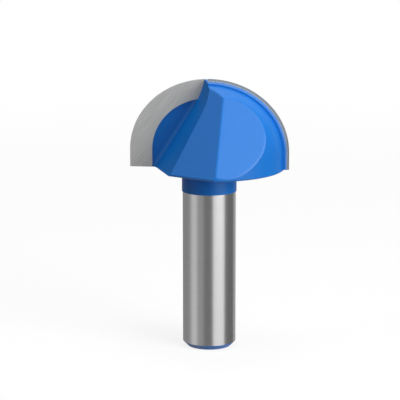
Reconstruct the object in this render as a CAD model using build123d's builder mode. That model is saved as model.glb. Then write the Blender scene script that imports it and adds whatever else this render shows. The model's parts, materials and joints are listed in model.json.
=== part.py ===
"""Round-nose router bit: a turned and milled steel body with two brazed carbide tips.

The bit stands on the end of its shank, with its axis on Z and its two wings along X.
Each wing has a plane of its own, the rake plane: local x points outwards along the wing, local y
points up, and the normal points behind the cutting edge, into the steel that backs the tip.
"""
import os
from math import cos, radians, sin, sqrt, tan

from build123d import *

# Shank and neck, turned
shank_diameter = 12.7
shank_length = 38.0
shank_end_chamfer = 1.2
neck_diameter = 13.05
neck_length = 5.4

# Cutting outline, in the rake plane: a straight edge, then an elliptical crown
cutting_diameter = 38.1
crown_rise = 17.1
straight_edge = 4.3
clearance_angle = 10.0

# Carbide tips, and the film of solder behind each of them
tip_thickness = 1.6
tip_width_at_side = 5.35
tip_width_at_crown = 4.6
braze_thickness = 0.1
left_tip_end = 1.0
right_tip_end = -0.25

# Head, turned inside the cutting outline: a dome on a short cylinder with a rounded rim
head_clearance = 1.1
dome_drop = 0.8
rim_radius = 0.4

# Blade through the head that backs both tips
blade_half_thickness = 3.3
blade_recess = 0.1

# Chip gullets, milled in front of the tips
gullet_floor_depth = 0.3
gullet_tilt = 22.5
gullet_corner_radius = 1.5
wall_lean_at_crown = 17.0
wall_lean_at_foot = 32.0
wall_bend_drop = 4.6
wall_bend_radius = 20.0

# Two relief facets ground behind each tip, which meet in a ridge and have rounded borders
outer_facet_turn = 19.5
inner_facet_turn = 27.5
facet_lean = 27.0
ridge_offset = 4.3
ridge_depth = 7.85
ridge_drop = 2.8
facet_border_radius = 0.8

# Heights and radii that follow
head_bottom = shank_length + neck_length
spring_height = head_bottom + straight_edge
crown_height = spring_height + crown_rise
cutting_radius = cutting_diameter / 2
low_height = shank_length
quarter_ellipse_weights = [1, sqrt(1 / 2), 1]
cutter_reach = 2 * cutting_diameter

left_wing = Plane(origin=(0, 0, 0), x_dir=(-1, 0, 0), z_dir=(0, 1, 0))
right_wing = Plane(origin=(0, 0, 0), x_dir=(1, 0, 0), z_dir=(0, -1, 0))
wings = {"left": (left_wing, left_tip_end), "right": (right_wing, right_tip_end)}


def draw_arch(half_width, rise, foot, mode=Mode.ADD):
    """Arch-shaped face: two straight sides from the foot up, and an elliptical crown."""
    with BuildLine() as outline:
        Line((-half_width, foot), (half_width, foot))
        Line((half_width, foot), (half_width, spring_height))
        EllipticalCenterArc((0, spring_height), half_width, rise, start_angle=0, arc_size=180)
        Line((-half_width, spring_height), (-half_width, foot))
    make_face(outline.line, mode=mode)


def draw_ground_outline(depth, recess=0.0):
    """The cutting outline as it is ground away behind the edge: smaller with each bit of depth."""
    clearance = depth * tan(radians(clearance_angle))
    inset = clearance + recess
    draw_arch(cutting_radius - inset, crown_rise - inset, head_bottom + clearance)


def draw_gullet_side(tip_end):
    """Face of all that lies outside a gullet's wall, on the side of the cutting edge."""
    upper_slope = tan(radians(wall_lean_at_crown))
    lower_slope = tan(radians(wall_lean_at_foot))
    over_crown = crown_height + wall_bend_drop
    bend_height = crown_height - wall_bend_drop
    top_x = tip_end - (over_crown - crown_height) * upper_slope
    bend_x = tip_end + wall_bend_drop * upper_slope
    low_x = bend_x + (bend_height - low_height) * lower_slope
    top = (top_x, over_crown)
    bend = (bend_x, bend_height)
    low = (low_x, low_height)
    with BuildLine() as outline:
        FilletPolyline(top, bend, low, radius=wall_bend_radius)
        Polyline(low, (cutter_reach, low_height), (cutter_reach, over_crown), top)
    make_face(outline.line)


def draw_seat(tip_end):
    """Face of the band that a tip covers, open outwards past the cutting outline."""
    draw_gullet_side(tip_end)
    inner_width = cutting_radius - tip_width_at_side
    inner_rise = crown_rise - tip_width_at_crown
    draw_arch(inner_width, inner_rise, low_height, mode=Mode.SUBTRACT)


def make_gullet(wing, tip_end):
    """What the cutter takes away in front of a tip, along a path tilted to the rake plane."""
    tilt = radians(gullet_tilt)
    path = wing.x_dir * -sin(tilt) - wing.z_dir * cos(tilt)
    with BuildPart() as gullet:
        with BuildSketch(wing.offset(gullet_floor_depth)):
            draw_gullet_side(tip_end + gullet_floor_depth * tan(tilt))
        extrude(amount=cutter_reach, dir=path)
        floor = gullet.faces().sort_by(Axis(wing.origin, wing.z_dir))[-1]
        wall_foot = floor.edges().filter_by(lambda edge: edge.center().Z < crown_height)
        fillet(wall_foot.sort_by(Axis(wing.origin, wing.x_dir))[:2], radius=gullet_corner_radius)
        with BuildSketch(wing):
            draw_seat(tip_end)
        extrude(amount=cutter_reach, dir=path)
    return gullet.part


gullets = {name: make_gullet(wing, tip_end) for name, (wing, tip_end) in wings.items()}

with BuildPart() as bit_body:
    with BuildSketch(Plane.XZ):
        with BuildLine():
            shank_radius = shank_diameter / 2
            neck_radius = neck_diameter / 2
            head_radius = cutting_radius - head_clearance
            Polyline(
                (0, 0),
                (shank_radius - shank_end_chamfer, 0),
                (shank_radius, shank_end_chamfer),
                (shank_radius, shank_length),
                (neck_radius, shank_length),
                (neck_radius, head_bottom),
                (head_radius, head_bottom),
                (head_radius, spring_height),
            )
            dome_rise = crown_height - dome_drop - spring_height
            dome_foot = (head_radius, spring_height)
            dome_top = (0, spring_height + dome_rise)
            dome_corner = (head_radius, spring_height + dome_rise)
            Bezier(dome_foot, dome_corner, dome_top, weights=quarter_ellipse_weights)
            Line(dome_top, (0, 0))
        make_face()
    revolve(axis=Axis.Z)

    for wing, _ in wings.values():
        ridge = Vector(0, 0, crown_height - ridge_drop) + wing.x_dir * ridge_offset
        ridge = ridge + wing.z_dir * ridge_depth
        for turn in (outer_facet_turn, -inner_facet_turn):
            level = wing.x_dir * sin(radians(turn)) + wing.z_dir * cos(radians(turn))
            lean = radians(facet_lean)
            facet = Plane(origin=ridge, z_dir=level * cos(lean) + Vector(0, 0, sin(lean)))
            split(bisect_by=facet, keep=Keep.BOTTOM)

    facets = faces().filter_by(GeomType.PLANE).filter_by(lambda face: face.normal_at().Z > 0)
    borders = facets.edges().filter_by(lambda edge: edge.center().Z > head_bottom + rim_radius)
    fillet(borders, radius=facet_border_radius)
    underside = faces().filter_by(Plane.XY).sort_by(Axis.Z)[-1]
    fillet(underside.outer_wire().edges(), radius=rim_radius)

    for wing, _ in wings.values():
        with BuildSketch(wing):
            draw_ground_outline(0, blade_recess)
        with BuildSketch(wing.offset(blade_half_thickness)):
            draw_ground_outline(blade_half_thickness, blade_recess)
        loft()

    for gullet in gullets.values():
        add(gullet, mode=Mode.SUBTRACT)

    for wing, tip_end in wings.values():
        with BuildSketch(wing):
            draw_seat(tip_end)
        extrude(amount=tip_thickness + braze_thickness, mode=Mode.SUBTRACT)

bit_body.part.label = "bit_body"

pieces = [bit_body.part]
for side, (wing, tip_end) in wings.items():
    with BuildPart() as carbide_tip:
        with BuildSketch(wing):
            draw_ground_outline(0)
        with BuildSketch(wing.offset(tip_thickness)):
            draw_ground_outline(tip_thickness)
        loft()
        with BuildSketch(wing):
            draw_seat(tip_end)
        extrude(amount=tip_thickness, mode=Mode.INTERSECT)
    carbide_tip.part.label = f"carbide_tip_{side}"

    seat_depth = tip_thickness + braze_thickness
    with BuildPart() as braze:
        with BuildSketch(wing.offset(tip_thickness)):
            draw_ground_outline(tip_thickness, blade_recess)
        with BuildSketch(wing.offset(seat_depth)):
            draw_ground_outline(seat_depth, blade_recess)
        loft()
        with BuildSketch(wing.offset(tip_thickness)):
            draw_seat(tip_end)
        extrude(amount=braze_thickness, mode=Mode.INTERSECT)
    braze.part.label = f"braze_{side}"
    pieces += [carbide_tip.part, braze.part]

os.makedirs("parts", exist_ok=True)
for piece in pieces:
    export_step(piece, f"parts/{piece.label}.step")
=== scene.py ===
import json
from math import cos, radians, sin

import bpy
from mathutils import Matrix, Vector

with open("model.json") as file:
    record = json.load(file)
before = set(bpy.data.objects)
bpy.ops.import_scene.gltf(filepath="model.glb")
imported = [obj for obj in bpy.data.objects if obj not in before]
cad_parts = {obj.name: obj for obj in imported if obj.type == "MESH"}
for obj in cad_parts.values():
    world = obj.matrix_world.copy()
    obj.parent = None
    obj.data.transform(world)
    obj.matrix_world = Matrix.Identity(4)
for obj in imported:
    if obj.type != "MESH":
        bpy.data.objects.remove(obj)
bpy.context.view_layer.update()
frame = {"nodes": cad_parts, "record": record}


# The body is one bar of tool steel, turned to a shank, a neck and a dome, with milled gullets and
# ground facets. Its head, its neck and the chamfer of its end are sprayed a satin blue, and the
# length that the collet grips is left bare and ground true.
MM = 0.001


def linear(hex_colour):
    """Linear colour of an sRGB hex value such as #1c76d8."""
    channels = [int(hex_colour[i : i + 2], 16) / 255 for i in (1, 3, 5)]
    return [c / 12.92 if c <= 0.04045 else ((c + 0.055) / 1.055) ** 2.4 for c in channels] + [1]


def add_node(tree, kind, settings=None, **inputs):
    """A node of that kind. Its inputs are values, or sockets of other nodes to link."""
    node = tree.nodes.new(kind)
    for name, value in (settings or {}).items():
        setattr(node, name, value)
    for name, value in inputs.items():
        key = int(name[1:]) if name[1:].isdigit() else name.replace("_", " ")
        if isinstance(value, bpy.types.NodeSocket):
            tree.links.new(value, node.inputs[key])
        else:
            node.inputs[key].default_value = value
    return node


def new_material(name):
    """An empty node material and its tree."""
    material = bpy.data.materials.new(name)
    material.use_nodes = True
    material.node_tree.nodes.clear()
    return material, material.node_tree


def mapped(tree, scale, rotation=(0, 0, 0)):
    """The piece's own coordinates on turned axes, in units of that many metres along each."""
    place = add_node(tree, "ShaderNodeTexCoord")
    return add_node(
        tree,
        "ShaderNodeMapping",
        {"vector_type": "TEXTURE"},
        Vector=place.outputs["Object"],
        Rotation=rotation,
        Scale=scale,
    ).outputs["Vector"]


def dress(node_name, material):
    """Gives a CAD node its one material."""
    piece = frame["nodes"][node_name]
    piece.data.materials.clear()
    piece.data.materials.append(material)


# The collet's grip is the bare length, and paint covers the rest. It laps onto the shank by a
# hair at both ends, so that the step under the neck is blue all over.
grip = next(mount for mount in frame["record"]["mounts"] if mount["name"] == "shank")
grip_middle = grip["pos_m"][2]
paint_lap = 0.02 * MM
bare_half_length = grip["dims"]["length_mm"] / 2 * MM - paint_lap

# Sprayed paint dries to a faint orange peel, a millimetre from hump to hump, and its satin skin
# spreads each highlight. The grinding wheel leaves rings on the steel that draw reflections out
# into even bands. The real rings are some 0.05 mm apart, and these are drawn coarser to show.
paint_peel = 1.1 * MM
ring_spacing = 0.22 * MM
ring_run = 9 * MM
surface_relief = 0.012 * MM

painted_steel, tree = new_material("satin_blue_paint_on_ground_tool_steel")
height = add_node(tree, "ShaderNodeSeparateXYZ", Vector=mapped(tree, (1, 1, 1))).outputs["Z"]
bare = add_node(
    tree,
    "ShaderNodeMath",
    {"operation": "COMPARE"},
    _0=height,
    _1=grip_middle,
    _2=bare_half_length,
).outputs[0]
peel = add_node(
    tree, "ShaderNodeTexNoise", Vector=mapped(tree, [paint_peel] * 3), Scale=1.0, Detail=3.0
).outputs["Fac"]
rings = add_node(
    tree,
    "ShaderNodeTexNoise",
    Vector=mapped(tree, (ring_run, ring_run, ring_spacing)),
    Scale=1.0,
    Detail=4.0,
).outputs["Fac"]
blue = add_node(
    tree,
    "ShaderNodeMix",
    {"data_type": "RGBA"},
    _0=peel,
    _6=linear("#1277d6"),
    _7=linear("#167edc"),
).outputs[2]
steel = add_node(
    tree,
    "ShaderNodeMix",
    {"data_type": "RGBA"},
    _0=rings,
    _6=linear("#d2d2d2"),
    _7=linear("#dddddd"),
).outputs[2]
colour = add_node(
    tree, "ShaderNodeMix", {"data_type": "RGBA"}, _0=bare, _6=blue, _7=steel
).outputs[2]
roughness = add_node(tree, "ShaderNodeMix", _0=bare, _2=0.4, _3=0.25).outputs[0]
relief = add_node(tree, "ShaderNodeMix", _0=bare, _2=peel, _3=rings).outputs[0]
bump = add_node(
    tree, "ShaderNodeBump", Height=relief, Distance=surface_relief, Strength=0.5
).outputs["Normal"]

# Spray reaches the wall of a gullet at a slant only, so the paint dries dull there and keeps its
# deep blue. The walls stand above the tips' lower edge and look along X and Y by the same sign.
# They look along X for the most part, and the facets beside them by less than half.
head_bottom = min(corner[2] for corner in frame["nodes"]["carbide_tip_left"].bound_box)
most_x_of_facets = 0.45
least_x_of_walls = 0.7
satin_gloss = 0.4
dull_gloss = 0.05

normal = add_node(tree, "ShaderNodeTexCoord").outputs["Normal"]
facing = add_node(tree, "ShaderNodeSeparateXYZ", Vector=normal)
y_sign = add_node(
    tree, "ShaderNodeMath", {"operation": "SIGN"}, _0=facing.outputs["Y"]
).outputs[0]
wallward = add_node(
    tree, "ShaderNodeMath", {"operation": "MULTIPLY"}, _0=facing.outputs["X"], _1=y_sign
).outputs[0]
wall_share = add_node(
    tree,
    "ShaderNodeMapRange",
    Value=wallward,
    From_Min=most_x_of_facets,
    From_Max=least_x_of_walls,
).outputs[0]
in_head = add_node(
    tree, "ShaderNodeMath", {"operation": "GREATER_THAN"}, _0=height, _1=head_bottom
).outputs[0]
dullness = add_node(
    tree, "ShaderNodeMath", {"operation": "MULTIPLY"}, _0=wall_share, _1=in_head
).outputs[0]
gloss = add_node(tree, "ShaderNodeMix", _0=dullness, _2=satin_gloss, _3=dull_gloss).outputs[0]
shader = add_node(
    tree,
    "ShaderNodeBsdfPrincipled",
    Base_Color=colour,
    Metallic=bare,
    Roughness=roughness,
    Specular_IOR_Level=gloss,
    Normal=bump,
)
add_node(tree, "ShaderNodeOutputMaterial", Surface=shader.outputs[0])
dress("bit_body", painted_steel)


# The two tips are slabs of sintered tungsten carbide, brazed to their seats and then ground. The
# wheel leaves a pale silky grey with slanted lines on the rake face. The narrow faces round it
# are drawn a darker and bluer grey, which is painted shade with a painted reflection of the blue
# paint beside them.
carbide, tree = new_material("ground_tungsten_carbide")

# A diamond wheel's lines are 0.1 mm apart or closer, and these are drawn coarser to show.
line_spacing = 0.35 * MM
line_depth = 1.0 * MM
line_length = 7 * MM
line_lean = radians(40)
line_relief = 0.01 * MM
least_y_of_rake = 0.9

lines = add_node(
    tree,
    "ShaderNodeTexNoise",
    Vector=mapped(tree, (line_spacing, line_depth, line_length), (0, line_lean, 0)),
    Scale=1.0,
    Detail=3.0,
).outputs["Fac"]
rake_grey = add_node(
    tree,
    "ShaderNodeMix",
    {"data_type": "RGBA"},
    _0=lines,
    _6=linear("#bebebc"),
    _7=linear("#e8e8e5"),
).outputs[2]
normal = add_node(tree, "ShaderNodeTexCoord").outputs["Normal"]
facing_y = add_node(tree, "ShaderNodeSeparateXYZ", Vector=normal).outputs["Y"]
flatness = add_node(
    tree, "ShaderNodeMath", {"operation": "ABSOLUTE"}, _0=facing_y
).outputs[0]
on_rake = add_node(
    tree, "ShaderNodeMath", {"operation": "GREATER_THAN"}, _0=flatness, _1=least_y_of_rake
).outputs[0]
# Faces that do not look along Y get a darker, bluer grey: painted shade with a painted reflection
# of the blue paint.
grey = add_node(
    tree, "ShaderNodeMix", {"data_type": "RGBA"}, _0=on_rake, _6=linear("#717c88"), _7=rake_grey
).outputs[2]
bump = add_node(
    tree, "ShaderNodeBump", Height=lines, Distance=line_relief, Strength=0.4
).outputs["Normal"]
shader = add_node(
    tree,
    "ShaderNodeBsdfPrincipled",
    Base_Color=grey,
    Metallic=0.3,
    Roughness=0.48,
    Normal=bump,
)
add_node(tree, "ShaderNodeOutputMaterial", Surface=shader.outputs[0])
for side in ("left", "right"):
    dress(f"carbide_tip_{side}", carbide)


# Behind each tip is a film of silver solder, which ran in when the tip was brazed on. Only its
# edge shows, as a thin warm grey line between the carbide and the painted steel, a little grainy
# as it set.
solder_grain = 0.3 * MM

solder, tree = new_material("silver_solder_as_set")
grain = add_node(
    tree, "ShaderNodeTexNoise", Vector=mapped(tree, [solder_grain] * 3), Scale=1.0, Detail=3.0
).outputs["Fac"]
warm_grey = add_node(
    tree,
    "ShaderNodeMix",
    {"data_type": "RGBA"},
    _0=grain,
    _6=linear("#8d877c"),
    _7=linear("#c2b9a4"),
).outputs[2]
shader = add_node(
    tree, "ShaderNodeBsdfPrincipled", Base_Color=warm_grey, Metallic=1.0, Roughness=0.42
)
add_node(tree, "ShaderNodeOutputMaterial", Surface=shader.outputs[0])
for side in ("left", "right"):
    dress(f"braze_{side}", solder)


# The floor is a plain sheet of matte white paper. Near the bit it keeps the shadow and glows
# just enough to look white to the camera, and farther out it fades to plain white. Reflections
# pass it by, and see the white room and the grey cards.
floor_width = 12.0
shadow_reach = 140 * MM
fade_end = 420 * MM
paper_glow = 0.84

bpy.ops.object.select_all(action="DESELECT")
bpy.ops.mesh.primitive_plane_add(size=floor_width, location=(0, 0, 0))
floor = bpy.context.object
floor.name = "paper_floor"
floor.visible_glossy = False
paper, tree = new_material("matte_white_paper")
path = add_node(tree, "ShaderNodeLightPath")
to_camera = path.outputs["Is Camera Ray"]
matte = add_node(tree, "ShaderNodeBsdfDiffuse", Color=linear("#787878"))
lift = add_node(
    tree, "ShaderNodeMath", {"operation": "MULTIPLY"}, _0=to_camera, _1=paper_glow
)
glow = add_node(
    tree, "ShaderNodeEmission", Color=linear("#ffffff"), Strength=lift.outputs[0]
)
near = add_node(tree, "ShaderNodeAddShader", _0=matte.outputs[0], _1=glow.outputs[0])
away = add_node(
    tree, "ShaderNodeVectorMath", {"operation": "LENGTH"}, Vector=mapped(tree, (1, 1, 1))
)
fade = add_node(
    tree,
    "ShaderNodeMapRange",
    {"interpolation_type": "SMOOTHSTEP"},
    Value=away.outputs["Value"],
    From_Min=shadow_reach,
    From_Max=fade_end,
)
far = add_node(
    tree, "ShaderNodeMath", {"operation": "MULTIPLY"}, _0=fade.outputs[0], _1=to_camera
)
white = add_node(tree, "ShaderNodeEmission", Color=linear("#ffffff"), Strength=1.0)
sheet = add_node(
    tree, "ShaderNodeMixShader", _0=far.outputs[0], _1=near.outputs[0], _2=white.outputs[0]
)
add_node(tree, "ShaderNodeOutputMaterial", Surface=sheet.outputs[0])
floor.data.materials.append(paper)


# The room is white to the camera, to metal and to glass, and lights everything else at a low,
# plain level.
room_light = 0.04

world = bpy.data.worlds.new("white_room")
bpy.context.scene.world = world
world.use_nodes = True
tree = world.node_tree
tree.nodes.clear()
path = add_node(tree, "ShaderNodeLightPath")
seen = add_node(
    tree,
    "ShaderNodeMath",
    {"operation": "MAXIMUM"},
    _0=path.outputs["Is Camera Ray"],
    _1=path.outputs["Is Glossy Ray"],
)
seen = add_node(
    tree,
    "ShaderNodeMath",
    {"operation": "MAXIMUM"},
    _0=seen.outputs[0],
    _1=path.outputs["Is Transmission Ray"],
)
level = add_node(tree, "ShaderNodeMix", _0=seen.outputs[0], _2=room_light, _3=1.0)
room = add_node(
    tree, "ShaderNodeBackground", Color=linear("#ffffff"), Strength=level.outputs[0]
)
add_node(tree, "ShaderNodeOutputWorld", Surface=room.outputs[0])


# The camera stands a little to the right of the bit's front and looks down on it through a long
# lens. The shift puts the bit where the photograph has it.
camera_turn = radians(7)
camera_rise = radians(12)
camera_distance = 500 * MM
aim = Vector((0, 0, 32.5 * MM))


def direction(turn, rise):
    """Unit vector from the bit: turn goes round from the front to the right, rise goes up."""
    return Vector((sin(turn) * cos(rise), -cos(turn) * cos(rise), sin(rise)))


camera = bpy.data.objects.new("camera", bpy.data.cameras.new("camera"))
bpy.context.scene.collection.objects.link(camera)
look = direction(camera_turn, camera_rise)
camera.location = aim + look * camera_distance
camera.rotation_mode = "QUATERNION"
camera.rotation_quaternion = (-look).to_track_quat("-Z", "Y")
camera.data.sensor_width = 36.0
camera.data.lens = 188.1
camera.data.shift_x = -0.0231
camera.data.shift_y = 0.0320
camera.data.clip_start = 0.01
camera.data.clip_end = 20.0
bpy.context.scene.camera = camera


# Four square soft lamps light the bit. The key stands low on the right, another above it and a
# third straight overhead, and a weak one on the left opens up the near gullet.
lamp_distance = 900 * MM
lamp_width = 600 * MM


def add_lamp(name, turn, rise, power):
    """A soft lamp aimed at the bit. Its turn in degrees starts at the camera."""
    lamp = bpy.data.objects.new(name, bpy.data.lights.new(name, "AREA"))
    bpy.context.scene.collection.objects.link(lamp)
    lamp.data.size = lamp_width
    lamp.data.energy = power
    away = direction(camera_turn + radians(turn), radians(rise))
    lamp.location = aim + away * lamp_distance
    lamp.rotation_mode = "QUATERNION"
    lamp.rotation_quaternion = away.to_track_quat("Z", "Y")


add_lamp("key_lamp", 50, 19, 6.5)
add_lamp("high_lamp", 38, 43, 1.3)
add_lamp("top_lamp", 0, 90, 3.8)
add_lamp("left_lamp", -78, 36, 1.1)


# Grey cards stand in a ring round the bit, out of the picture, and only reflections see them.
# They draw the dark bands on the ground steel and keep the gullet's wall from glazing over, and
# the white room between them leaves the bright bands.
card_distance = 700 * MM
degrees_per_strip = 6

# Each card has the turns in degrees from the camera that it starts and ends at, its lower and
# upper edge in millimetres, and its tone.
cards = {
    "card_left_back": (-180, -98, -600, 0, "#959595"),
    "card_left_side": (-98, -84, -600, 0, "#a8a8a8"),
    "card_left_high": (-150, -84, 0, 1100, "#303030"),
    "card_left_strip": (-84, -54, -600, 1100, "#d4d4d4"),
    "card_left_front": (-54, -24, -600, 150, "#a0a0a0"),
    "card_front": (-24, 16, -600, 150, "#767676"),
    "card_right_front": (16, 69, -600, 0, "#f4f4f4"),
    "card_right": (69, 130, -600, 1100, "#6f6f6f"),
    "card_right_back": (130, 180, -600, 0, "#b4b4b4"),
}
for name, (start, end, low, high, tone) in cards.items():
    strips = max(2, round((end - start) / degrees_per_strip))
    corners = []
    for step in range(strips + 1):
        turn = camera_turn + radians(start + (end - start) * step / strips)
        foot = direction(turn, 0) * card_distance
        corners += [(foot.x, foot.y, low * MM), (foot.x, foot.y, high * MM)]
    faces = [(2 * i, 2 * i + 1, 2 * i + 3, 2 * i + 2) for i in range(strips)]
    mesh = bpy.data.meshes.new(name)
    mesh.from_pydata(corners, [], faces)
    card = bpy.data.objects.new(name, mesh)
    bpy.context.scene.collection.objects.link(card)
    grey_card, tree = new_material(name)
    flat_tone = add_node(tree, "ShaderNodeEmission", Color=linear(tone), Strength=1.0)
    add_node(tree, "ShaderNodeOutputMaterial", Surface=flat_tone.outputs[0])
    card.data.materials.append(grey_card)
    card.visible_camera = False
    card.visible_diffuse = False
    card.visible_shadow = False
    card.visible_transmission = False


# Colours show as they are written.
bpy.context.scene.view_settings.view_transform = "Standard"
